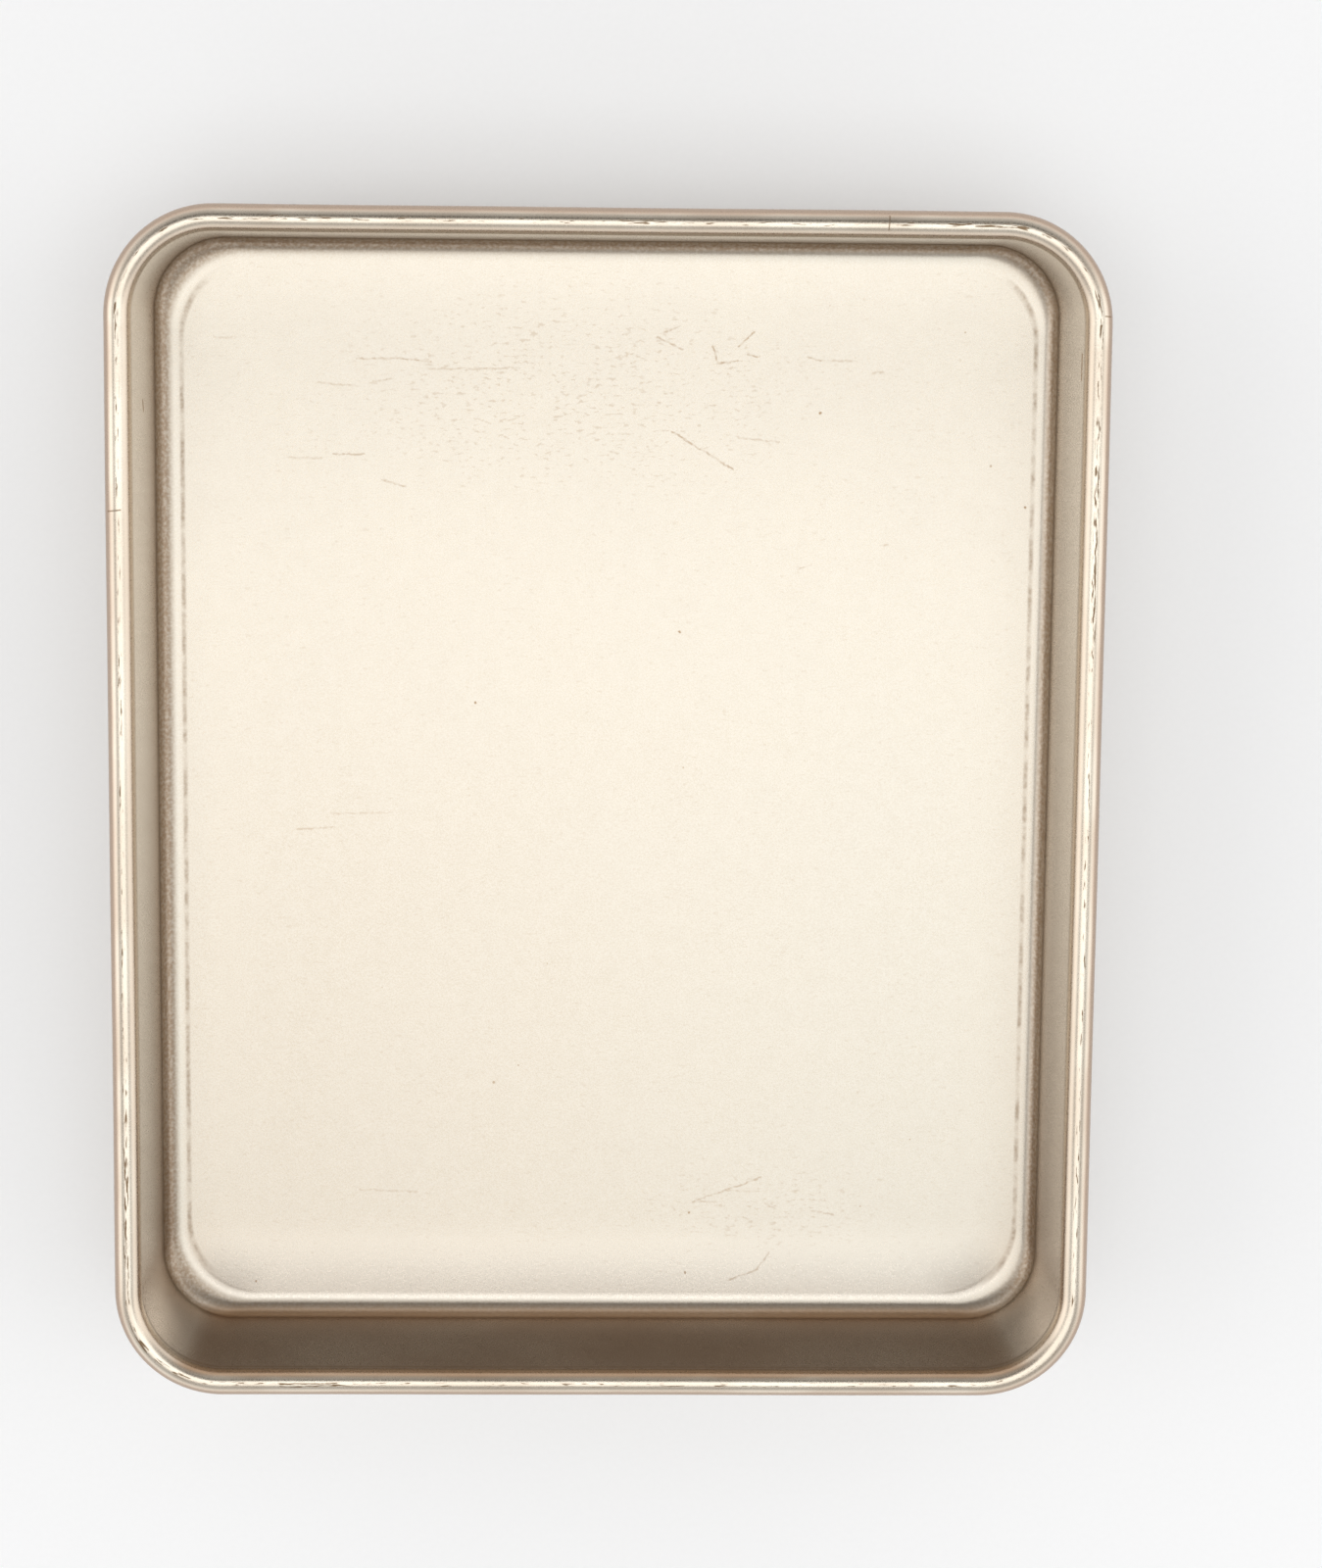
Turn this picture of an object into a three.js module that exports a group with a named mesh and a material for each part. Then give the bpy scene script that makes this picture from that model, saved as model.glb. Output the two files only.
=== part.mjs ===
// A rectangular baking pan: a drawn sheet body whose edge is rolled outwards over a stiffening wire.
// Millimetres, +Z up. The origin is under the middle of the floor, on the surface that the pan stands on.

import * as THREE from 'three';

// Overall size, measured over the rolled rim.
const PAN_WIDTH = 241;
const PAN_LENGTH = 292;
const PAN_HEIGHT = 51;

// Corner radii seen from above: outside of the rim, inside of the wall's foot, edge of the flat floor.
const RIM_CORNER = 26.5;
const WALL_FOOT_CORNER = 18.3;
const FLOOR_CORNER = 19.5;

// The sheet, the lean of its walls in degrees, and the inside bend between floor and wall.
const SHEET = 1;
const WALL_DRAFT = 1.2;
const FLOOR_BEND = 5;

// The wire in the rolled edge, its clearance to the roll, and the gap between its butted ends.
const WIRE_DIAMETER = 4;
const WIRE_CLEARANCE = 0.3;
const WIRE_BUTT_GAP = 0.8;

// The roll bulges inside the wall, over a small hollow neck, and its lip stops just short of the wall.
const ROLL_BULGE = 0.4;
const NECK_RADIUS = 1;
const LIP_GAP = 0.3;

// Facets of each quarter corner, floor bend, neck, third of the roll, and wire.
const CORNER_STEPS = 8;
const BEND_STEPS = 6;
const NECK_STEPS = 3;
const ROLL_STEPS = 8;
const WIRE_SIDES = 12;

const COATING = { color: 0xcbb393, metalness: 0.9, roughness: 0.35 };
const BARE_STEEL = { color: 0x9a9a98, metalness: 1, roughness: 0.4 };

// The pan's section lies in a plane of (inset from the rim's outside, height).
const DRAFT = THREE.MathUtils.degToRad(WALL_DRAFT);
const WALL_UP = new THREE.Vector2(-Math.sin(DRAFT), Math.cos(DRAFT));
const WALL_NORMAL = new THREE.Vector2(Math.cos(DRAFT), Math.sin(DRAFT));
const WALL_ANGLE = Math.PI + DRAFT;
const FLOOR_ANGLE = 1.5 * Math.PI;

const ROLL_RADIUS = WIRE_DIAMETER / 2 + WIRE_CLEARANCE + SHEET;
const ROLL_CENTRE = new THREE.Vector2(ROLL_RADIUS, PAN_HEIGHT - ROLL_RADIUS);
const WALL_TOP = new THREE.Vector2(2 * ROLL_RADIUS - ROLL_BULGE, ROLL_CENTRE.y);

// Centre of the neck's arc, which touches both the wall and the underside of the bulge.
function neckCentre() {
  const fromRoll = WALL_TOP.clone().sub(ROLL_CENTRE).addScaledVector(WALL_NORMAL, NECK_RADIUS);
  const along = fromRoll.dot(WALL_UP);
  const reach = ROLL_RADIUS + NECK_RADIUS;
  const drop = along + Math.sqrt(along * along - fromRoll.lengthSq() + reach * reach);
  return fromRoll.addScaledVector(WALL_UP, -drop).add(ROLL_CENTRE);
}

// Centre of the floor bend's arc, which touches both the floor and the wall.
function bendCentre() {
  const height = SHEET + FLOOR_BEND;
  const lean = Math.sin(DRAFT) * (WALL_TOP.y - height);
  return new THREE.Vector2(WALL_TOP.x + (FLOOR_BEND + lean) / Math.cos(DRAFT), height);
}

// Direction from the roll's centre in which the lip ends, at its gap from the wall's outer face.
function lipAngle() {
  const wallReach = Math.cos(DRAFT) * (ROLL_RADIUS - ROLL_BULGE) - SHEET;
  return 2 * Math.PI + DRAFT - Math.acos((wallReach - LIP_GAP) / ROLL_RADIUS);
}

const NECK_CENTRE = neckCentre();
const BEND_CENTRE = bendCentre();
const NECK_TO_ROLL = ROLL_CENTRE.clone().sub(NECK_CENTRE).angle();

// The roll turns from the neck over its crest and its outermost line to the lip.
const ROLL_TURNS = [NECK_TO_ROLL - Math.PI, Math.PI / 2, Math.PI, lipAngle()];

// Inset of the corner arcs' centres at the foot of the wall and at the edge of the floor.
const FOOT_CORNER_CENTRE = BEND_CENTRE.x + FLOOR_BEND * Math.cos(WALL_ANGLE) + WALL_FOOT_CORNER;
const FLOOR_CORNER_CENTRE = BEND_CENTRE.x + FLOOR_CORNER;

// Points of an arc in the section, each with the angle that it lies at.
function arc(centre, radius, from, to, steps) {
  return Array.from({ length: steps + 1 }, (_, step) => {
    const angle = THREE.MathUtils.lerp(from, to, step / steps);
    return {
      inset: centre.x + radius * Math.cos(angle),
      height: centre.y + radius * Math.sin(angle),
      angle,
    };
  });
}

// One face of the sheet, from the floor's edge to the lip, at a depth below the inner face.
function sheetFace(depth) {
  const bend = arc(BEND_CENTRE, FLOOR_BEND + depth, FLOOR_ANGLE, WALL_ANGLE, BEND_STEPS);
  const neck = arc(NECK_CENTRE, NECK_RADIUS + depth, WALL_ANGLE, NECK_TO_ROLL, NECK_STEPS);
  const roll = ROLL_TURNS.slice(1).flatMap((turn, third) => {
    return arc(ROLL_CENTRE, ROLL_RADIUS - depth, ROLL_TURNS[third], turn, ROLL_STEPS).slice(1);
  });
  const bendRings = bend.map(({ inset, height, angle }) => {
    const towardsFloor = 1 - Math.cos(angle) / Math.cos(WALL_ANGLE);
    const centre = THREE.MathUtils.lerp(FOOT_CORNER_CENTRE, FLOOR_CORNER_CENTRE, towardsFloor);
    return roundedRing(inset, height, centre - inset);
  });
  const rimRings = [...neck, ...roll].map(({ inset, height }) => {
    return roundedRing(inset, height, RIM_CORNER - inset);
  });
  return [...bendRings, ...rimRings];
}

// Quarter-circle corners of a rounded rectangle, anticlockwise from +X +Y.
function cornerArcs(inset, radius) {
  const x = PAN_WIDTH / 2 - inset - radius;
  const y = PAN_LENGTH / 2 - inset - radius;
  const centres = [[x, y], [-x, y], [-x, -y], [x, -y]];
  return centres.map(([centreX, centreY], quarter) => {
    const start = quarter * Math.PI / 2;
    return new THREE.EllipseCurve(centreX, centreY, radius, radius, start, start + Math.PI / 2);
  });
}

function roundedRing(inset, height, radius) {
  const corners = cornerArcs(inset, radius).flatMap((corner) => corner.getPoints(CORNER_STEPS));
  return corners.map((point) => new THREE.Vector3(point.x, point.y, height));
}

// Closed skin through rings of equal count, with flat ends. Each ring turns anticlockwise
// when seen from before the first one.
function loft(rings) {
  const count = rings[0].length;
  const last = (rings.length - 1) * count;
  const triangles = [];
  for (let ring = 0; ring < last; ring += count) {
    for (let side = 0; side < count; side += 1) {
      const here = ring + side;
      const next = ring + (side + 1) % count;
      triangles.push(here, here + count, next + count, here, next + count, next);
    }
  }
  for (let side = 1; side + 1 < count; side += 1) {
    triangles.push(0, side, side + 1, last, last + side + 1, last + side);
  }
  const geometry = new THREE.BufferGeometry().setFromPoints(rings.flat());
  geometry.setIndex(triangles);
  geometry.computeVertexNormals();
  return geometry;
}

function drawnSheet() {
  const inner = sheetFace(0);
  const outer = sheetFace(SHEET);
  return loft([...inner, ...outer.reverse()]);
}

// Wire loop in the middle of the roll, from one butted end round to the other on the +X side.
function wireLoop() {
  const middle = PAN_WIDTH / 2 - ROLL_RADIUS;
  const along = new THREE.Vector2(0, 1);
  const start = { point: new THREE.Vector2(middle, WIRE_BUTT_GAP / 2), along };
  const end = { point: new THREE.Vector2(middle, -WIRE_BUTT_GAP / 2), along };
  const corners = cornerArcs(ROLL_RADIUS, RIM_CORNER - ROLL_RADIUS).flatMap((corner) => {
    return Array.from({ length: CORNER_STEPS + 1 }, (_, step) => {
      const share = step / CORNER_STEPS;
      return { point: corner.getPoint(share), along: corner.getTangent(share) };
    });
  });
  const rings = [start, ...corners, end].map(({ point, along: heading }) => {
    return Array.from({ length: WIRE_SIDES }, (_, side) => {
      const angle = side / WIRE_SIDES * 2 * Math.PI;
      const out = WIRE_DIAMETER / 2 * Math.cos(angle);
      const up = WIRE_DIAMETER / 2 * Math.sin(angle);
      return new THREE.Vector3(point.x + heading.y * out, point.y - heading.x * out, ROLL_CENTRE.y + up);
    });
  });
  return loft(rings);
}

function piece(name, geometry, finish) {
  const mesh = new THREE.Mesh(geometry, new THREE.MeshStandardMaterial(finish));
  mesh.name = name;
  return mesh;
}

const pan = new THREE.Group();
pan.add(piece('pan_body', drawnSheet(), COATING));
pan.add(piece('rim_wire', wireLoop(), BARE_STEEL));

export default pan;
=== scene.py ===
# Looks of a rectangular baking pan: a drawn sheet with a rolled rim, in a satin champagne coating.
# Metres, +Z up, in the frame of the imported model.

import math
from types import SimpleNamespace

import bpy
from mathutils import Matrix, Vector


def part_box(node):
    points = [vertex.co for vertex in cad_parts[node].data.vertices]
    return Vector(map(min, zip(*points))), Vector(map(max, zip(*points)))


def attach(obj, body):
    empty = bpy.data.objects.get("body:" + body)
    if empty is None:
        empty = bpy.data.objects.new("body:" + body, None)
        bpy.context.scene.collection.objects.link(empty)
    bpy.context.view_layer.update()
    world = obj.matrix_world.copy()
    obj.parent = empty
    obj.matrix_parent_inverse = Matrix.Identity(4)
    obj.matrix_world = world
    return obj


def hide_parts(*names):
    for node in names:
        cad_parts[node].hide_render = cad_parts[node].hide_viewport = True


MM = 0.001

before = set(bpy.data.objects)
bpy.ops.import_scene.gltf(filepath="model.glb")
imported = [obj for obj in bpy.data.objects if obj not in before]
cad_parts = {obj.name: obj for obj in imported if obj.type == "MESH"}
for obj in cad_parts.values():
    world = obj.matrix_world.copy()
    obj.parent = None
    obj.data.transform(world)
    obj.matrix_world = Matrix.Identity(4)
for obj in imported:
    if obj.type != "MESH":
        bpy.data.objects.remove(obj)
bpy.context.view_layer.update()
body_low, body_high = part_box("pan_body")
wire_low, wire_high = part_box("rim_wire")

# Outside of the pan, and the roll round its wire, from the frame.
HALF_WIDTH = body_high.x
HALF_LENGTH = body_high.y
WIRE_RADIUS = (wire_high.z - wire_low.z) / 2
ROLL_RADIUS = body_high.z - (wire_low.z + wire_high.z) / 2
ROLL_CENTRE = Vector((ROLL_RADIUS, body_high.z - ROLL_RADIUS))

# Section of the sheet and the wire's butt joint, as they are drawn in the part.
SHEET = 1 * MM
RIM_CORNER = 26.5 * MM
WALL_FOOT_CORNER = 18.3 * MM
FLOOR_CORNER_CENTRE = 31.6 * MM
WALL_DRAFT = math.radians(1.2)
ROLL_BULGE = 0.4 * MM
NECK_RADIUS = 1 * MM
LIP_GAP = 0.3 * MM
WIRE_BUTT_GAP = 0.8 * MM
WIRE_CHAMFER = 0.3 * MM

# The floor lifts a little towards its edge, then eases into the tight bend to the wall.
FLOOR_LIFT = 0.9 * MM
LIFT_REACH = 12 * MM
EASE_RADIUS = 13.5 * MM
EASE_TURN = math.radians(15)
BEND_RADIUS = 4.2 * MM

# The line of the rim wavers a little.
RIM_WAVER = 0.12 * MM

# Steps of the fine meshes.
CORNER_STEPS = 28
WIDTH_STEPS = 24
LENGTH_STEPS = 30
FLOOR_STEPS = 20
EASE_STEPS = 8
BEND_STEPS = 22
WALL_STEPS = 8
NECK_STEPS = 8
ROLL_STEPS = 16
LIP_STEPS = 6
WIRE_SIDES = 24

# Rings of the floor crowd towards its edge, out from a small face in the middle.
FLOOR_CROWDING = 2.4
MIDDLE_HALF_WIDTH = 2 * MM
MIDDLE_CORNER = 1.5 * MM

# Scratches on the floor, in millimetres: from (x, y) to (x, y), and how strong.
SCRATCHES = (
    ((-63, 109), (-51, 109), 0.55),
    ((-51, 109), (-44.5, 108.5), 0.7),
    ((-45, 106.5), (-22, 107), 0.45),
    ((-73, 103), (-63, 102), 0.35),
    ((-60, 103), (-54.5, 104), 0.4),
    ((-69, 85), (-61.5, 85), 0.55),
    ((-81, 84), (-72, 84), 0.3),
    ((-57, 78.5), (-51, 77), 0.6),
    ((-99, 114), (-93.5, 114), 0.3),
    ((12.5, 115), (19, 112), 0.55),
    ((14, 116), (18, 118), 0.55),
    ((26.5, 113), (28, 108.5), 0.7),
    ((28, 108.5), (33, 109.5), 0.8),
    ((33, 113), (37, 116.5), 0.75),
    ((35.5, 111), (38.5, 110.5), 0.8),
    ((50.5, 110.5), (54, 109.5), 0.6),
    ((54, 109.5), (63, 109.5), 0.35),
    ((67, 106.5), (70, 107), 0.5),
    ((16.5, 91.5), (32, 82), 0.75),
    ((34, 90), (43.5, 89), 0.4),
    ((70, 63), (72, 63), 0.5),
    ((49.5, 57), (52.5, 58), 0.5),
    ((-79, -11), (-69, -10.5), 0.45),
    ((-70, -7), (-54.5, -6.5), 0.3),
    ((-63, -106), (-48, -106.5), 0.3),
    ((24, -109), (41.5, -102.5), 0.6),
    ((24.5, -109), (30, -109), 0.5),
    ((33, -106), (41, -106), 0.3),
    ((43, -109.5), (45.5, -111), 0.5),
    ((58, -112), (61, -112.5), 0.5),
    ((33.5, -130), (41, -127), 0.65),
    ((41, -127), (44, -122.5), 0.5),
)
SCRATCH_WIDTH = 0.65 * MM

# Places of the floor with more flecks: a squeeze along X, then in squeezed millimetres (x, y),
# the radius of full strength and the radius of none.
FLECKED_PLACES = (
    (0.45, (-4, 102), 12, 34),
    (0.4, (17, -110), 4, 16),
)

# Scratches on the inside of the walls, in millimetres: from (x, y, z) to (x, y, z).
WALL_SCRATCHES = (
    ((-113.5, 98.5, 27), (-113.5, 96.5, 26)),
    ((113.5, 112, 42), (113.5, 106.5, 42)),
)
WALL_SCRATCH_WIDTH = 1.8 * MM

# Chips in the coating of the floor, in millimetres: (x, y), and the radius.
CHIPS = (
    ((-33, 22), 0.4),
    ((106.5, 73), 0.35),
    ((80.5, -92), 0.3),
    ((-90, -130.5), 0.35),
    ((19, 40.5), 0.45),
    ((54, 96.5), 0.45),
    ((23, -112), 0.4),
    ((22, -128), 0.35),
    ((68, -110), 0.3),
)
CHIP_STRENGTH = 0.75

# Nicks across the top of the rim, in millimetres.
RIM_NICKS = (
    ((66, 141.3), (66.2, 144.5)),
    ((118.2, 121.5), (120.3, 121.3)),
    ((-119.5, 73), (-116.5, 73.4)),
)
NICK_WIDTH = 0.5 * MM

# Places on the rim that are rubbed more than the rest, in millimetres: (x, y), and the radius.
RUBBED_PLACES = (
    ((-74, 143), 11),
    ((7, 143), 8),
    ((92, 142), 16),
    ((117, 121), 11),
    ((117, 70), 45),
    ((-117, 120), 6),
    ((-75, -143), 17),
    ((-110, -135), 15),
    ((-117, -95), 30),
)

# Where the residue and the painted light and shade on the coating change in the plan, from and to:
# first along X from the middle, then along Y.
LONG_SIDES = (98 * MM, 106 * MM)
# Painted light: the paler strip of floor before the near wall.
PAINTED_LIGHT_SPAN = (-134 * MM, -112 * MM)
NEAR_BEND = (-138 * MM, -128 * MM)
# Spans of the painted shade on the near wall and on the near ends of the side walls.
NEAR_WALL = (-139 * MM, -135 * MM)
NEAR_END = (-135 * MM, 20 * MM)

# The residue and painted shade in the bends lie further out on the +X side and further in on the other.
BEND_SHADE_SHIFT = 0.7 * MM / HALF_WIDTH

# Sizes of the coating's grain and blotches, and the depth of its bumps.
FLAKE_SIZE = 0.45 * MM
GRAIN_SIZE = 0.9 * MM
MOTTLE_SIZE = 4 * MM
CLOUD_SIZE = 45 * MM
CRUMB_SIZE = 0.8 * MM
COATING_BUMP = 0.008 * MM

# Colours of the coating, of what lies on it or shows through it, and of the light and shade painted on
# it.
COATING_DARK = (0.53, 0.473, 0.393, 1)
COATING_LIGHT = (0.62, 0.568, 0.493, 1)
# Painted light: paler floor before the near wall.
PAINTED_LIGHT_COLOUR = (0.69, 0.63, 0.55, 1)
# Painted light: the walls paler than the floor.
WALL_PAINTED_LIGHT = (0.715, 0.645, 0.56, 1)
ROLL_COATING = (0.62, 0.50, 0.385, 1)
# Painted shade and reflection: the darker outer side of the roll.
OUTER_ROLL_PAINTED_SHADE = (0.47, 0.36, 0.28, 1)
RUBBED_COATING = (0.75, 0.68, 0.575, 1)
# Residue with painted shade in the creases and along the floor's edges.
RESIDUE_AND_SHADE_COLOUR = (0.26, 0.17, 0.10, 1)
# Painted shade: the near wall darker and browner.
NEAR_SHADE_COLOUR = (0.33, 0.21, 0.125, 1)
OUTSIDE_STAIN = (0.36, 0.27, 0.19, 1)
SCUFF = (0.50, 0.48, 0.45, 1)
BARE_RIM = (0.20, 0.125, 0.065, 1)
MARK = (0.38, 0.23, 0.11, 1)

# Drawn steel of the wire: its colours, its fine lines and its stain.
WIRE_CLEAN = (0.46, 0.45, 0.43, 1)
WIRE_STAINED = (0.30, 0.27, 0.23, 1)
WIRE_LINE_SIZE = 0.3 * MM
WIRE_STAIN_SIZE = 9 * MM
WIRE_BUMP = 0.01 * MM

# Camera of the photograph, fitted to the pan's edges.
CAMERA_PLACE = Vector((-9.2, 122.6, 869.2)) * MM
CAMERA_AIM = Vector((14.6, 1.1, 0)) * MM
CAMERA_ROLL = math.radians(0.58)
CAMERA_LENS = 78.34
CAMERA_SENSOR = 36

# Stage floor, just under the pan.
STAGE_REACH = 6
STAGE_DROP = 0.2 * MM
STAGE_FIBRE_SIZE = 1.5 * MM
STAGE_DARK = (0.84, 0.84, 0.845, 1)
STAGE_LIGHT = (0.87, 0.87, 0.875, 1)

# Glow of the stage floor to the camera and in reflections, which makes it a white background.
STAGE_GLOW = 0.12

# What the camera sees beyond the stage floor, which is the tone of its far end.
BACKGROUND = (0.807, 0.807, 0.807, 1)

# Softboxes over the pan: name, low and high corner in the plan, radiance and colour.
SOFTBOXES = (
    ("far_softbox", (-0.8, -0.16), (1.1, 0.22), 1.36, (0.96, 0.985, 1.0)),
    ("left_softbox", (-0.6, -0.80), (0.1, -0.16), 0.98, (1.0, 0.995, 0.98)),
    ("right_softbox", (0.1, -0.80), (0.65, -0.16), 1.12, (0.91, 0.97, 1.0)),
)
SOFTBOX_HEIGHT = 1.6

# Dome of the studio, low down and overhead, and the heights between which it changes.
DOME_LOW = (1.25, 1.25, 1.25, 1)
DOME_HIGH = (0.50, 0.495, 0.49, 1)
DOME_CHANGE = (0.3, 0.68)

# Soft lights at the sides of the dome: degrees from the zenith towards +X, and colour.
SIDE_LIGHTS = (
    (-60, (1.8, 1.79, 1.78, 1)),
    (60, (1.6, 1.6, 1.6, 1)),
)
SIDE_LIGHT_INNER = math.radians(10)
SIDE_LIGHT_OUTER = math.radians(28)

# Dim patch of the dome on the camera's side, in slopes y / z and x / z: middle, inner and outer reach.
DIM_PATCH = (0.03, 0.02, 0.01, 1)
DIM_AHEAD = (0.41, 0.08, 0.28)
DIM_ASIDE = (0.0, 0.35, 0.6)

WALL_UP = Vector((-math.sin(WALL_DRAFT), math.cos(WALL_DRAFT)))
WALL_NORMAL = Vector((math.cos(WALL_DRAFT), math.sin(WALL_DRAFT)))
WALL_ANGLE = math.pi + WALL_DRAFT
FLOOR_ANGLE = 1.5 * math.pi
EDGE_ANGLE = FLOOR_ANGLE - math.atan(FLOOR_LIFT / LIFT_REACH)
EASE_ANGLE = FLOOR_ANGLE - EASE_TURN
WALL_TOP = Vector((2 * ROLL_RADIUS - ROLL_BULGE, ROLL_CENTRE.y))


def towards(angle):
    """Unit vector in the section at an angle."""
    return Vector((math.cos(angle), math.sin(angle)))


def neck_centre():
    """Centre of the neck's arc, which touches the wall and the underside of the roll's bulge."""
    from_roll = WALL_TOP - ROLL_CENTRE + WALL_NORMAL * NECK_RADIUS
    along = from_roll.dot(WALL_UP)
    reach = ROLL_RADIUS + NECK_RADIUS
    drop = along + math.sqrt(along ** 2 - from_roll.length_squared + reach ** 2)
    return ROLL_CENTRE + from_roll - WALL_UP * drop


def bend_centres():
    """Centres of the two arcs between the floor's edge and the wall: the ease and the tight bend."""
    ease_height = SHEET + FLOOR_LIFT - EASE_RADIUS * math.sin(EDGE_ANGLE)
    step = towards(EASE_ANGLE) * (EASE_RADIUS - BEND_RADIUS)
    height = ease_height + step.y
    lean = math.sin(WALL_DRAFT) * (WALL_TOP.y - height)
    tight = Vector((WALL_TOP.x + (BEND_RADIUS + lean) / math.cos(WALL_DRAFT), height))
    return tight - step, tight


def lip_angle():
    """Direction from the roll's centre in which the rounded lip ends."""
    wall_reach = math.cos(WALL_DRAFT) * (ROLL_RADIUS - ROLL_BULGE) - SHEET
    flat_end = math.acos((wall_reach - LIP_GAP) / ROLL_RADIUS)
    rounding = SHEET / 2 / (ROLL_RADIUS - SHEET / 2)
    return 2 * math.pi + WALL_DRAFT - flat_end - rounding


NECK_CENTRE = neck_centre()
EASE_CENTRE, BEND_CENTRE = bend_centres()
TO_ROLL = ROLL_CENTRE - NECK_CENTRE
NECK_TO_ROLL = math.atan2(TO_ROLL.y, TO_ROLL.x)
LIP_ANGLE = lip_angle()
FOOT_CORNER_CENTRE = BEND_CENTRE.x + BEND_RADIUS * math.cos(WALL_ANGLE) + WALL_FOOT_CORNER
FLOOR_EDGE = EASE_CENTRE.x + EASE_RADIUS * math.cos(EDGE_ANGLE)


def blend(first, last, share):
    """Value at a share of the way from first to last."""
    return first + (last - first) * share


def arc(centre, radius, start, end, steps):
    """Points of an arc in the section, as (inset, height, angle)."""
    points = []
    for step in range(steps + 1):
        angle = blend(start, end, step / steps)
        inset = centre.x + radius * math.cos(angle)
        height = centre.y + radius * math.sin(angle)
        points.append((inset, height, angle))
    return points


def floor_rings(depth):
    """Rings of the floor as (inset, height, corner centre), from its middle out to its edge."""
    span = HALF_WIDTH - FLOOR_EDGE - MIDDLE_HALF_WIDTH
    edge_corner = FLOOR_CORNER_CENTRE - FLOOR_EDGE
    rings = []
    for step in range(FLOOR_STEPS, 0, -1):
        from_edge = span * (step / FLOOR_STEPS) ** FLOOR_CROWDING
        lift = FLOOR_LIFT * math.exp(-from_edge / LIFT_REACH)
        inset = FLOOR_EDGE + from_edge
        corner = blend(edge_corner, MIDDLE_CORNER, from_edge / span)
        rings.append((inset, SHEET - depth + lift, inset + corner))
    return rings


def sheet_face(depth):
    """Rings of one face of the sheet, from the middle of the floor to the lip."""
    rings = floor_rings(depth)
    ease = arc(EASE_CENTRE, EASE_RADIUS + depth, EDGE_ANGLE, EASE_ANGLE, EASE_STEPS)
    bend = arc(BEND_CENTRE, BEND_RADIUS + depth, EASE_ANGLE, WALL_ANGLE, BEND_STEPS)
    for inset, height, angle in ease + bend[1:]:
        share = 1 - math.cos(angle) / math.cos(WALL_ANGLE)
        rings.append((inset, height, blend(FOOT_CORNER_CENTRE, FLOOR_CORNER_CENTRE, share)))
    foot = rings[-1]
    neck = arc(NECK_CENTRE, NECK_RADIUS + depth, WALL_ANGLE, NECK_TO_ROLL, NECK_STEPS)
    for step in range(1, WALL_STEPS):
        share = step / WALL_STEPS
        inset = blend(foot[0], neck[0][0], share)
        height = blend(foot[1], neck[0][1], share)
        rings.append((inset, height, blend(foot[2], RIM_CORNER, share)))
    turns = (NECK_TO_ROLL - math.pi, math.pi / 2, math.pi, LIP_ANGLE)
    roll = []
    for start, end in zip(turns, turns[1:]):
        roll += arc(ROLL_CENTRE, ROLL_RADIUS - depth, start, end, ROLL_STEPS)[1:]
    rings += [(inset, height, RIM_CORNER) for inset, height, _ in neck + roll]
    return rings


def lip_rings():
    """Rings round the lip's rounded edge, between the two faces."""
    centre = ROLL_CENTRE + towards(LIP_ANGLE) * (ROLL_RADIUS - SHEET / 2)
    edge = arc(centre, SHEET / 2, LIP_ANGLE, LIP_ANGLE + math.pi, LIP_STEPS)
    return [(inset, height, RIM_CORNER) for inset, height, _ in edge[1:-1]]


def rounded_ring(inset, height, corner_centre):
    """Points of a rounded rectangle, anticlockwise from the +X side of the +X +Y corner."""
    radius = corner_centre - inset
    x = HALF_WIDTH - corner_centre
    y = HALF_LENGTH - corner_centre
    centres = ((x, y), (-x, y), (-x, -y), (x, -y))
    points = []
    for quarter, (centre_x, centre_y) in enumerate(centres):
        for step in range(CORNER_STEPS + 1):
            angle = (quarter + step / CORNER_STEPS) * math.pi / 2
            corner_x = centre_x + radius * math.cos(angle)
            corner_y = centre_y + radius * math.sin(angle)
            points.append((corner_x, corner_y, height))
        next_x, next_y = centres[(quarter + 1) % 4]
        steps = (WIDTH_STEPS, LENGTH_STEPS)[quarter % 2]
        for step in range(1, steps):
            side_x = corner_x + (next_x - centre_x) * step / steps
            side_y = corner_y + (next_y - centre_y) * step / steps
            points.append((side_x, side_y, height))
    return points


def unevenness(first, second):
    """From 0 to 1, out of two waves."""
    return (1 - math.cos(first) * math.cos(second)) / 2


def waver(point):
    """Point with a small uneven pull in towards the middle and down, from none at the floor.

    The waves are in radians per metre.
    """
    x, y, z = point
    pull = RIM_WAVER * z / body_high.z
    pull_x = pull * unevenness(47 * y, 19 * y + 1)
    pull_y = pull * unevenness(53 * x, 23 * x + 2)
    drop = pull * unevenness(31 * x + 27 * y, 39 * y) / 2 if z > 2 * SHEET else 0
    return x * (1 - pull_x / HALF_WIDTH), y * (1 - pull_y / HALF_LENGTH), z - drop


def ring_lengths(ring):
    """Distance along a closed ring to each of its points, and back to the first."""
    lengths = [0]
    for here, there in zip(ring, ring[1:] + ring[:1]):
        lengths.append(lengths[-1] + math.dist(here, there))
    return lengths


def add_object(name, data):
    """New object in the scene."""
    made = bpy.data.objects.new(name, data)
    bpy.context.scene.collection.objects.link(made)
    return made


def close_mesh(mesh):
    """Turn the faces of a mesh outwards and shade them smooth."""
    mesh.flip_normals()
    mesh.validate()
    mesh.shade_smooth()


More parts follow.
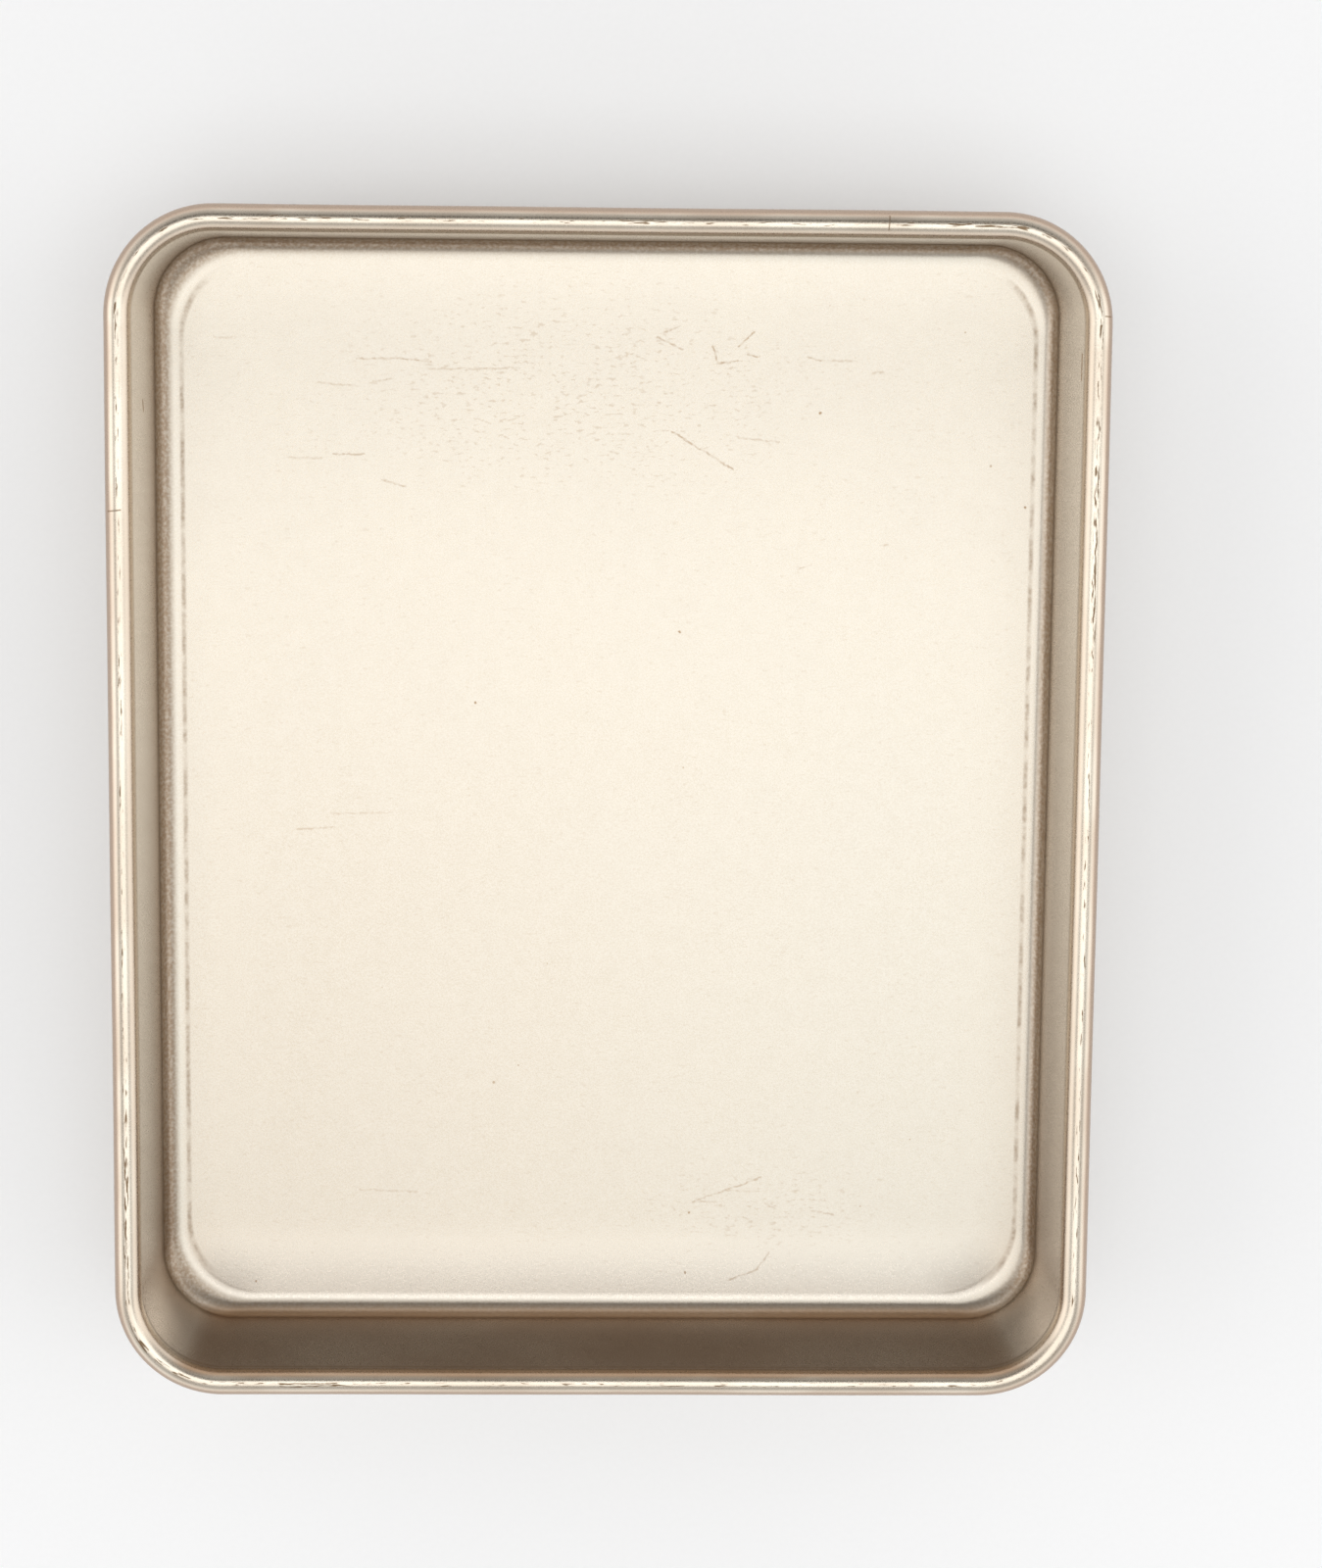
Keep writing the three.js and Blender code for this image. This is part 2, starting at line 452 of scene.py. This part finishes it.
def build_pan():
    """The drawn sheet, and the places of its main lines across the sheet.

    Its UV map holds metres along the rim and metres across the sheet from the edge of the floor.
    """
    inner = sheet_face(0)
    section = inner + lip_rings() + sheet_face(SHEET)[::-1]
    rings = [[waver(point) for point in rounded_ring(*station)] for station in section]
    crest = max(range(len(inner)), key=lambda index: inner[index][1])
    along = ring_lengths(rings[crest])
    across = [0]
    for here, there in zip(section, section[1:]):
        across.append(across[-1] + math.dist(here[:2], there[:2]))
    edge = across[FLOOR_STEPS]
    across = [length - edge for length in across]

    bend_start = FLOOR_STEPS + EASE_STEPS
    neck_middle = bend_start + BEND_STEPS + WALL_STEPS + NECK_STEPS // 2
    lines = SimpleNamespace(
        foot=across[bend_start + BEND_STEPS],
        neck=across[neck_middle],
        crest=across[crest],
        lip=across[len(inner) + LIP_STEPS // 2],
        outer_bend=across[-1 - bend_start],
    )

    count = len(rings[0])
    faces = []
    uvs = []
    for ring in range(len(rings) - 1):
        for side in range(count):
            after = (side + 1) % count
            low = ring * count
            high = low + count
            faces.append((low + side, low + after, high + after, high + side))
            uvs += [(along[side], across[ring]), (along[side + 1], across[ring])]
            uvs += [(along[side + 1], across[ring + 1]), (along[side], across[ring + 1])]
    last = (len(rings) - 1) * count
    faces.append(tuple(range(count))[::-1])
    uvs += [(along[side], across[0]) for side in range(count)][::-1]
    faces.append(tuple(range(last, last + count)))
    uvs += [(along[side], across[-1]) for side in range(count)]

    mesh = bpy.data.meshes.new("pan")
    mesh.from_pydata([point for ring in rings for point in ring], [], faces)
    layer = mesh.uv_layers.new(name="sheet")
    layer.data.foreach_set("uv", [value for uv in uvs for value in uv])
    close_mesh(mesh)
    return add_object("pan", mesh), lines


def wire_path():
    """Points along the wire's middle, from one butted end on the +X side round to the other."""
    loop = rounded_ring(ROLL_RADIUS, ROLL_CENTRE.y, RIM_CORNER)[:1 - LENGTH_STEPS]
    middle = HALF_WIDTH - ROLL_RADIUS
    end = WIRE_BUTT_GAP / 2
    start_run = [(middle, end + extra, ROLL_CENTRE.y) for extra in (0, WIRE_CHAMFER)]
    end_run = [(middle, -end - extra, ROLL_CENTRE.y) for extra in (WIRE_CHAMFER, 0)]
    return [Vector(point) for point in start_run + loop + end_run]


def build_wire():
    """Round wire in the middle of the roll, with chamfered ends."""
    path = wire_path()
    up = Vector((0, 0, 1))
    points = []
    for index, centre in enumerate(path):
        before = path[max(index - 1, 0)]
        after = path[min(index + 1, len(path) - 1)]
        out = (after - before).cross(up).normalized()
        at_end = index in (0, len(path) - 1)
        radius = WIRE_RADIUS - WIRE_CHAMFER if at_end else WIRE_RADIUS
        for side in range(WIRE_SIDES):
            angle = side / WIRE_SIDES * 2 * math.pi
            spoke = out * math.cos(angle) + up * math.sin(angle)
            points.append(waver(centre + spoke * radius))
    faces = []
    for ring in range(0, len(points) - WIRE_SIDES, WIRE_SIDES):
        following = ring + WIRE_SIDES
        for side in range(WIRE_SIDES):
            after = (side + 1) % WIRE_SIDES
            faces.append((ring + side, following + side, following + after, ring + after))
    last = len(points) - WIRE_SIDES
    faces.append(tuple(range(WIRE_SIDES)))
    faces.append(tuple(range(last, last + WIRE_SIDES))[::-1])
    mesh = bpy.data.meshes.new("wire")
    mesh.from_pydata(points, [], faces)
    close_mesh(mesh)
    return add_object("wire", mesh)


class Graph:
    """Short calls that make and link the nodes of one tree."""

    def __init__(self, tree):
        self.tree = tree

    def node(self, kind, **settings):
        """New node with its settings."""
        made = self.tree.nodes.new(kind)
        for name, value in settings.items():
            setattr(made, name, value)
        return made

    def feed(self, socket, value):
        """Link a socket to another one, or set it to a constant."""
        if isinstance(value, bpy.types.NodeSocket):
            self.tree.links.new(value, socket)
        else:
            socket.default_value = value

    def math(self, operation, first, second=0.0, clamp=False):
        """Result of a sum on two values."""
        made = self.node("ShaderNodeMath", operation=operation, use_clamp=clamp)
        self.feed(made.inputs[0], first)
        self.feed(made.inputs[1], second)
        return made.outputs[0]

    def product(self, first, *others):
        """All values multiplied."""
        for other in others:
            first = self.math("MULTIPLY", first, other)
        return first

    def total(self, first, *others):
        """All values added."""
        for other in others:
            first = self.math("ADD", first, other)
        return first

    def most(self, first, *others):
        """The largest of the values."""
        for other in others:
            first = self.math("MAXIMUM", first, other)
        return first

    def vector(self, operation, first, second=(0, 0, 0)):
        """Node that works on two vectors."""
        made = self.node("ShaderNodeVectorMath", operation=operation)
        self.feed(made.inputs[0], first)
        self.feed(made.inputs[1], second)
        return made

    def scaled(self, place, factors):
        """Place with each of its parts multiplied by a factor."""
        return self.vector("MULTIPLY", place, factors).outputs[0]

    def parts(self, place):
        """The three parts of a vector."""
        made = self.node("ShaderNodeSeparateXYZ")
        self.feed(made.inputs[0], place)
        return made.outputs

    def step(self, value, start, end, low=0.0, high=1.0):
        """Smooth change from low to high as value goes from start to end."""
        made = self.node("ShaderNodeMapRange", interpolation_type="SMOOTHSTEP")
        for socket, number in zip(made.inputs, (value, start, end, low, high)):
            self.feed(socket, number)
        return made.outputs[0]

    def band(self, value, middle, inner, outer):
        """1 within inner of the middle, falling to 0 at outer from it."""
        away = self.math("ABSOLUTE", self.math("SUBTRACT", value, middle))
        return self.step(away, inner, outer, 1.0, 0.0)

    def noise(self, place, size, detail=2.0, stretch=(1, 1, 1)):
        """Noise from 0 to 1 whose blotches are about size metres wide."""
        scaled = self.scaled(place, tuple(part / size for part in stretch))
        made = self.node("ShaderNodeTexNoise")
        self.feed(made.inputs["Vector"], scaled)
        made.inputs["Scale"].default_value = 1.0
        made.inputs["Detail"].default_value = detail
        return made.outputs[0]

    def noise_along(self, length, size, shift, detail=2.0):
        """Noise from 0 to 1 along a length."""
        scaled = self.math("ADD", self.math("DIVIDE", length, size), shift)
        made = self.node("ShaderNodeTexNoise", noise_dimensions="1D")
        self.feed(made.inputs["W"], scaled)
        made.inputs["Scale"].default_value = 1.0
        made.inputs["Detail"].default_value = detail
        return made.outputs[0]

    def wobble(self, place, size, reach):
        """Place moved about in the plan by up to reach, in blotches about size metres wide."""
        scaled = self.scaled(place, (1 / size,) * 3)
        made = self.node("ShaderNodeTexNoise")
        self.feed(made.inputs["Vector"], scaled)
        made.inputs["Scale"].default_value = 1.0
        shift = self.vector("SUBTRACT", made.outputs["Color"], (0.5, 0.5, 0.5)).outputs[0]
        shift = self.scaled(shift, (2 * reach, 2 * reach, 0))
        return self.vector("ADD", place, shift).outputs[0]

    def specks(self, place, size, share, radius):
        """Round specks in a share of the cells of about size metres."""
        made = self.node("ShaderNodeTexVoronoi")
        self.feed(made.inputs["Vector"], place)
        made.inputs["Scale"].default_value = 1 / size
        pick = self.node("ShaderNodeSeparateColor")
        self.feed(pick.inputs[0], made.outputs["Color"])
        chosen = self.step(pick.outputs[0], 1 - share - 0.02, 1 - share)
        reach = self.product(pick.outputs[1], radius / size)
        away = self.math("DIVIDE", made.outputs["Distance"], reach)
        return self.product(chosen, self.step(away, 0.6, 1.0, 1.0, 0.0))

    def spot(self, place, centre, inner, outer):
        """1 within inner of a point, falling to 0 at outer from it."""
        away = self.vector("DISTANCE", place, tuple(centre)).outputs["Value"]
        return self.step(away, inner, outer, 1.0, 0.0)

    def stroke(self, place, start, end, width):
        """1 on a straight stroke between two points, falling to 0 at its sides."""
        run = end - start
        per_run = tuple(run / run.length_squared)
        from_start = self.vector("SUBTRACT", place, tuple(start)).outputs[0]
        share = self.vector("DOT_PRODUCT", from_start, per_run).outputs["Value"]
        share = self.math("ADD", share, 0.0, clamp=True)
        nearest = self.node("ShaderNodeVectorMath", operation="SCALE")
        nearest.inputs[0].default_value = run
        self.feed(nearest.inputs["Scale"], share)
        away = self.vector("DISTANCE", from_start, nearest.outputs[0]).outputs["Value"]
        return self.step(away, width * 0.2, width * 0.5, 1.0, 0.0)

    def mix(self, share, first, last):
        """Colour at a share of the way from first to last."""
        made = self.node("ShaderNodeMix", data_type="RGBA")
        self.feed(made.inputs[0], share)
        self.feed(made.inputs[6], first)
        self.feed(made.inputs[7], last)
        return made.outputs[2]

    def bump(self, height, depth):
        """Normal of a surface with bumps of a depth in metres."""
        made = self.node("ShaderNodeBump")
        made.inputs["Strength"].default_value = 1.0
        made.inputs["Distance"].default_value = depth
        self.feed(made.inputs["Height"], height)
        return made.outputs[0]


def new_material(name):
    """New material, with the graph of its nodes and its shader."""
    material = bpy.data.materials.new(name)
    material.use_nodes = True
    graph = Graph(material.node_tree)
    shader = material.node_tree.nodes["Principled BSDF"]
    return material, graph, shader


def on_plan(point):
    """A point of the plan in millimetres, as a vector in metres."""
    return Vector((*point, 0)) * MM


def sheet_places(graph):
    """Where a point of the sheet lies: in the pan, in its plan, and along and across the sheet."""
    place = graph.node("ShaderNodeTexCoord").outputs["Object"]
    plan = graph.scaled(place, (1, 1, 0))
    sheet = graph.node("ShaderNodeUVMap", uv_map="sheet").outputs[0]
    along, across, _ = graph.parts(sheet)
    x, y, _ = graph.parts(place)
    return SimpleNamespace(place=place, plan=plan, sheet=sheet, along=along, across=across, x=x, y=y)


def painted_light_strip(graph, at):
    """Painted light on a strip of the floor before the near wall, from 0 to 1."""
    strip = graph.step(at.y, *PAINTED_LIGHT_SPAN, 1.0, 0.0)
    return graph.product(strip, graph.step(at.across, 1 * MM, 2.5 * MM, 1.0, 0.0))


def residue_and_painted_shade(graph, at, lines, mottle):
    """Residue, with painted shade, under the rim, in the bend and along the long edges of the floor,
    from 0 to 1.
    """
    crumbs = graph.step(graph.noise(at.place, CRUMB_SIZE, detail=4.0), 0.30, 0.66, 0.55, 1.0)
    crease = graph.product(graph.band(at.across, lines.neck, 0.6 * MM, 2.0 * MM), 0.7)
    outwards = graph.math("SUBTRACT", at.across, graph.product(at.x, BEND_SHADE_SHIFT))
    bend = graph.step(at.across, lines.foot - 0.5 * MM, lines.foot + 1.2 * MM, 1.0, 0.0)
    bend = graph.product(bend, graph.step(outwards, 1.6 * MM, 4.2 * MM))
    bend = graph.product(bend, graph.step(at.y, *NEAR_BEND, 0.5, 0.8))
    long_sides = graph.step(graph.math("ABSOLUTE", at.x), *LONG_SIDES)
    edge = graph.product(graph.band(outwards, -0.1 * MM, 0.1 * MM, 0.9 * MM), long_sides)
    edge = graph.product(edge, graph.step(mottle, 0.35, 0.65, 0.15, 0.6))
    return graph.product(graph.most(crease, bend, edge), crumbs)


def near_painted_shade(graph, at, lines, wall, clouds):
    """How much painted shade darkens and browns the near wall, and the ends of the side walls next to
    it, from 0 to 1.
    """
    inside = graph.step(at.across, lines.crest - 2.4 * MM, lines.crest - 0.8 * MM, 1.0, 0.0)
    near_wall = graph.product(graph.step(at.y, *NEAR_WALL, 1.0, 0.0), inside)
    near_end = graph.product(graph.step(at.y, *NEAR_END, 0.4, 0.0), wall)
    uneven = graph.step(clouds, 0.2, 0.8, 0.7, 0.95)
    return graph.product(graph.most(near_wall, near_end), uneven)


def floor_marks(graph, at):
    """Scratches, flecks and chips in the coating of the floor's upper face, from 0 to 1."""
    shaken = graph.wobble(graph.wobble(at.plan, 2.5 * MM, 0.5 * MM), 0.7 * MM, 0.35 * MM)
    dotted = graph.step(graph.noise(at.plan, 1.3 * MM, detail=3.0), 0.40, 0.60, 0.2, 0.65)
    marks = 0.0
    for start, end, strength in SCRATCHES:
        stroke = graph.stroke(shaken, on_plan(start), on_plan(end), SCRATCH_WIDTH)
        marks = graph.most(graph.product(stroke, strength), marks)
    marks = graph.product(marks, dotted)
    for centre, radius in CHIPS:
        chip = graph.spot(shaken, on_plan(centre), 0.4 * radius * MM, radius * MM)
        marks = graph.most(graph.product(chip, CHIP_STRENGTH), marks)

    scuffed = 0.0
    for squeeze, centre, inner, outer in FLECKED_PLACES:
        squeezed = graph.scaled(at.plan, (squeeze, 1, 1))
        spot = graph.spot(squeezed, on_plan(centre), inner * MM, outer * MM)
        scuffed = graph.most(spot, scuffed)
    flecks = graph.noise(shaken, 0.8 * MM, detail=2.0, stretch=(0.4, 1, 1))
    patches = graph.noise(at.plan, 14 * MM, detail=3.0)
    flecks = graph.total(flecks, graph.product(scuffed, 0.04), graph.product(patches, 0.16))
    flecks = graph.step(flecks, 0.69, 0.81)
    flecks = graph.product(flecks, graph.total(graph.product(scuffed, 0.13), 0.10))
    specks = graph.product(graph.specks(at.plan, 7 * MM, 0.2, 0.45 * MM), 0.5)
    on_floor = graph.step(at.across, -0.5 * MM, 0.0, 1.0, 0.0)
    return graph.product(graph.most(marks, flecks, specks), on_floor)


def wall_marks(graph, at):
    """Scratches on the walls, from 0 to 1. Their distance across the pan counts for little."""
    squeeze = Vector((0.05, 1, 1))
    squeezed = graph.scaled(graph.wobble(at.place, 1.5 * MM, 0.2 * MM), tuple(squeeze))
    marks = 0.0
    for ends in WALL_SCRATCHES:
        start, end = (Vector(point) * squeeze * MM for point in ends)
        marks = graph.most(graph.stroke(squeezed, start, end, WALL_SCRATCH_WIDTH), marks)
    return marks


def rim_wear(graph, at, crest):
    """How much the coating is thinned along the rim's crest, and how much is gone, from 0 to 1."""
    heavy = 0.0
    for centre, radius in RUBBED_PLACES:
        spot = graph.spot(at.plan, on_plan(centre), 0.3 * radius * MM, radius * MM)
        heavy = graph.most(spot, heavy)
    drift = graph.math("SUBTRACT", graph.noise_along(at.along, 22 * MM, 3.1, detail=3.0), 0.5)
    line = graph.total(at.across, graph.product(drift, 1.1 * MM))

    uneven = graph.step(graph.noise_along(at.along, 35 * MM, 5.3), 0.35, 0.65, 0.35, 1.0)
    thinned = graph.product(graph.band(line, crest, 1.0 * MM, 2.6 * MM), graph.most(uneven, heavy))

    streaks = graph.noise(at.sheet, 0.5 * MM, detail=3.0, stretch=(0.13, 1, 1))
    streaks = graph.total(streaks, graph.product(heavy, 0.09), graph.product(uneven, 0.03))
    streaks = graph.step(streaks, 0.58, 0.70)
    gone = graph.product(streaks, graph.band(line, crest, 0.35 * MM, 0.75 * MM))
    nicks = 0.0
    for start, end in RIM_NICKS:
        nicks = graph.most(graph.stroke(at.plan, on_plan(start), on_plan(end), NICK_WIDTH), nicks)
    nicks = graph.product(nicks, graph.band(at.across, crest, 3 * MM, 3.5 * MM), 0.7)
    return thinned, graph.most(gone, nicks)


def outside_wear(graph, at, lines):
    """Scuffs and baked-on stain on the outer face of the sheet, from 0 to 1."""
    outside = graph.step(at.across, lines.lip, lines.lip + 1 * MM)
    lengthwise = graph.noise(at.place, 0.35 * MM, detail=2.0, stretch=(1, 0.012, 0.4))
    crosswise = graph.noise(at.place, 0.4 * MM, detail=2.0, stretch=(0.02, 1, 0.4))
    patches = graph.step(graph.noise(at.place, 38 * MM, detail=3.0), 0.45, 0.6)
    scuffs = graph.step(graph.most(lengthwise, crosswise), 0.66, 0.76)
    scuffs = graph.product(scuffs, patches, 0.6)
    blotches = graph.step(graph.noise(at.place, 3 * MM, detail=4.0), 0.48, 0.62)
    rubbed = graph.band(at.across, lines.outer_bend, 0.5 * MM, 2.5 * MM)
    rubbed = graph.product(rubbed, blotches, 0.7)
    stain = graph.step(graph.noise(at.place, 55 * MM, detail=5.0), 0.42, 0.78)
    return graph.product(graph.most(scuffs, rubbed), outside), graph.product(stain, outside)


def coating_material(lines):
    """Satin champagne coating: metallic grain, scratches, a rubbed rim, residue with painted shade in
    the creases, and painted light and shade on the walls, the roll and the near floor.
    """
    material, graph, shader = new_material("champagne_coating")
    at = sheet_places(graph)
    flakes = graph.noise(at.place, FLAKE_SIZE, detail=3.0)
    grain = graph.noise(at.place, GRAIN_SIZE, detail=3.0)
    mottle = graph.noise(at.place, MOTTLE_SIZE, detail=3.0)
    clouds = graph.noise(at.place, CLOUD_SIZE, detail=2.0)
    tone = graph.total(graph.product(flakes, 0.8), graph.product(mottle, 0.1))
    tone = graph.total(tone, graph.product(clouds, 0.12))
    colour = graph.mix(graph.step(tone, 0.3, 0.72), COATING_DARK, COATING_LIGHT)
    # Painted light on the floor before the near wall, where its reflection is dimmer.
    colour = graph.mix(painted_light_strip(graph, at), colour, PAINTED_LIGHT_COLOUR)

    # Residue, and painted shade in the crease under the rim, in the bend and along the floor's long
    # edges.
    residue_and_shade = residue_and_painted_shade(graph, at, lines, mottle)
    wall = graph.step(at.across, lines.neck - 2 * MM, lines.neck - 0.5 * MM, 1.0, 0.0)
    wall = graph.product(wall, graph.step(at.across, lines.foot, lines.foot + 3 * MM))
    # Painted light: the walls paler than the floor's coating, standing in for light on them.
    colour = graph.mix(wall, colour, WALL_PAINTED_LIGHT)
    roll = graph.step(at.across, lines.neck - 1 * MM, lines.neck + 1 * MM)
    roll = graph.product(roll, graph.step(at.across, lines.lip, lines.lip + 1 * MM, 1.0, 0.0))
    colour = graph.mix(graph.product(roll, 0.6), colour, ROLL_COATING)
    # Painted shade on the outer side of the roll, standing in for the reflection of a darker room.
    outer_roll_shade = graph.step(at.across, lines.crest + 1 * MM, lines.crest + 2.5 * MM)
    colour = graph.mix(graph.product(outer_roll_shade, roll), colour, OUTER_ROLL_PAINTED_SHADE)
    colour = graph.mix(residue_and_shade, colour, RESIDUE_AND_SHADE_COLOUR)
    # Painted shade: the near wall and the near ends of the side walls darker and browner.
    colour = graph.mix(near_painted_shade(graph, at, lines, wall, clouds), colour, NEAR_SHADE_COLOUR)

    scuffs, stain = outside_wear(graph, at, lines)
    colour = graph.mix(graph.product(stain, 0.3), colour, OUTSIDE_STAIN)
    colour = graph.mix(scuffs, colour, SCUFF)

    thinned, gone = rim_wear(graph, at, lines.crest)
    colour = graph.mix(graph.product(thinned, 0.8), colour, RUBBED_COATING)
    colour = graph.mix(graph.product(gone, 0.95), colour, BARE_RIM)

    marks = graph.most(floor_marks(graph, at), graph.product(wall_marks(graph, at), wall))
    colour = graph.mix(marks, colour, MARK)
    graph.feed(shader.inputs["Base Color"], colour)
    shader.inputs["Metallic"].default_value = 1.0

    damage = graph.most(gone, marks, scuffs)
    rough = graph.total(flakes, graph.product(clouds, 0.3))
    rough = graph.step(rough, 0.3, 1.0, 0.25, 0.33)
    rough = graph.total(rough, graph.product(damage, 0.18))
    rough = graph.total(rough, graph.product(stain, 0.10), graph.product(residue_and_shade, 0.15))
    graph.feed(shader.inputs["Roughness"], rough)
    height = graph.math("SUBTRACT", grain, graph.product(gone, 1.5))
    graph.feed(shader.inputs["Normal"], graph.bump(height, COATING_BUMP))
    return material


def wire_material():
    """Dull drawn steel wire with fine lines and some stain."""
    material, graph, shader = new_material("drawn_wire")
    place = graph.node("ShaderNodeTexCoord").outputs["Object"]
    lines = graph.noise(place, WIRE_LINE_SIZE, detail=3.0)
    stain = graph.noise(place, WIRE_STAIN_SIZE, detail=4.0)
    colour = graph.mix(graph.step(stain, 0.4, 0.7), WIRE_CLEAN, WIRE_STAINED)
    graph.feed(shader.inputs["Base Color"], colour)
    shader.inputs["Metallic"].default_value = 1.0
    graph.feed(shader.inputs["Roughness"], graph.step(lines, 0.2, 0.8, 0.32, 0.5))
    graph.feed(shader.inputs["Normal"], graph.bump(lines, WIRE_BUMP))
    return material


def build_stage():
    """Plain pale floor, just under the pan."""
    mesh = bpy.data.meshes.new("stage_floor")
    corners = [(-1, -1), (1, -1), (1, 1), (-1, 1)]
    points = [(x * STAGE_REACH, y * STAGE_REACH, 0) for x, y in corners]
    mesh.from_pydata(points, [], [(0, 1, 2, 3)])
    floor = add_object("stage_floor", mesh)
    floor.location.z = -STAGE_DROP
    material, graph, shader = new_material("pale_paper")
    place = graph.node("ShaderNodeTexCoord").outputs["Object"]
    fibre = graph.noise(place, STAGE_FIBRE_SIZE, detail=3.0)
    graph.feed(shader.inputs["Base Color"], graph.mix(fibre, STAGE_DARK, STAGE_LIGHT))
    shader.inputs["Roughness"].default_value = 0.9
    shader.inputs["Specular IOR Level"].default_value = 0.2
    shader.inputs["Emission Color"].default_value = (1, 1, 1, 1)
    rays = graph.node("ShaderNodeLightPath").outputs
    seen = graph.most(rays["Is Camera Ray"], rays["Is Glossy Ray"], rays["Is Transmission Ray"])
    graph.feed(shader.inputs["Emission Strength"], graph.product(seen, STAGE_GLOW))
    mesh.materials.append(material)


def build_softbox(name, low, high, radiance, colour):
    """Rectangular lamp that faces down, from its low to its high corner."""
    width = high[0] - low[0]
    depth = high[1] - low[1]
    data = bpy.data.lights.new(name, "AREA")
    data.shape = "RECTANGLE"
    data.size = width
    data.size_y = depth
    data.energy = 4 * radiance * width * depth
    data.color = colour
    lamp = add_object(name, data)
    lamp.location = ((low[0] + high[0]) / 2, (low[1] + high[1]) / 2, SOFTBOX_HEIGHT)


def side_light(graph, direction, degrees):
    """Soft round patch of the dome, at an angle from the zenith towards +X, from 0 to 1."""
    angle = math.radians(degrees)
    centre = (math.sin(angle), 0, math.cos(angle))
    nearness = graph.vector("DOT_PRODUCT", direction, centre).outputs["Value"]
    return graph.step(nearness, math.cos(SIDE_LIGHT_OUTER), math.cos(SIDE_LIGHT_INNER))


def build_world():
    """Studio dome: pale low down, a soft light at either side, and a dim patch on the camera's side."""
    world = bpy.data.worlds.new("studio")
    world.use_nodes = True
    bpy.context.scene.world = world
    graph = Graph(world.node_tree)
    direction = graph.node("ShaderNodeTexCoord").outputs["Generated"]
    x, y, z = graph.parts(direction)
    dome = graph.mix(graph.step(z, *DOME_CHANGE), DOME_LOW, DOME_HIGH)
    for degrees, colour in SIDE_LIGHTS:
        dome = graph.mix(side_light(graph, direction, degrees), dome, colour)
    ahead = graph.math("DIVIDE", y, z)
    aside = graph.math("DIVIDE", x, z)
    dim = graph.product(graph.band(ahead, *DIM_AHEAD), graph.band(aside, *DIM_ASIDE))
    dome = graph.mix(dim, dome, DIM_PATCH)
    seen = graph.node("ShaderNodeLightPath").outputs["Is Camera Ray"]
    dome = graph.mix(seen, dome, BACKGROUND)
    graph.feed(world.node_tree.nodes["Background"].inputs["Color"], dome)


def build_camera():
    """Camera where the photograph was taken from."""
    data = bpy.data.cameras.new("camera")
    data.sensor_width = CAMERA_SENSOR
    data.lens = CAMERA_LENS
    camera = add_object("camera", data)
    back = (CAMERA_PLACE - CAMERA_AIM).normalized()
    right = Vector((0, 1, 0)).cross(back).normalized()
    up = back.cross(right)
    turn = Matrix((right, up, back)).transposed() @ Matrix.Rotation(CAMERA_ROLL, 3, "Z")
    camera.matrix_world = Matrix.Translation(CAMERA_PLACE) @ turn.to_4x4()
    bpy.context.scene.camera = camera


def place_piece(piece, material, node):
    """Put a piece on the pan's one body, in place of its node."""
    piece.data.materials.append(material)
    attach(piece, "root")
    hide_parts(node)


pan, pan_lines = build_pan()
place_piece(pan, coating_material(pan_lines), "pan_body")
place_piece(build_wire(), wire_material(), "rim_wire")

build_stage()
for softbox in SOFTBOXES:
    build_softbox(*softbox)
build_world()
build_camera()
bpy.context.scene.view_settings.view_transform = "Standard"
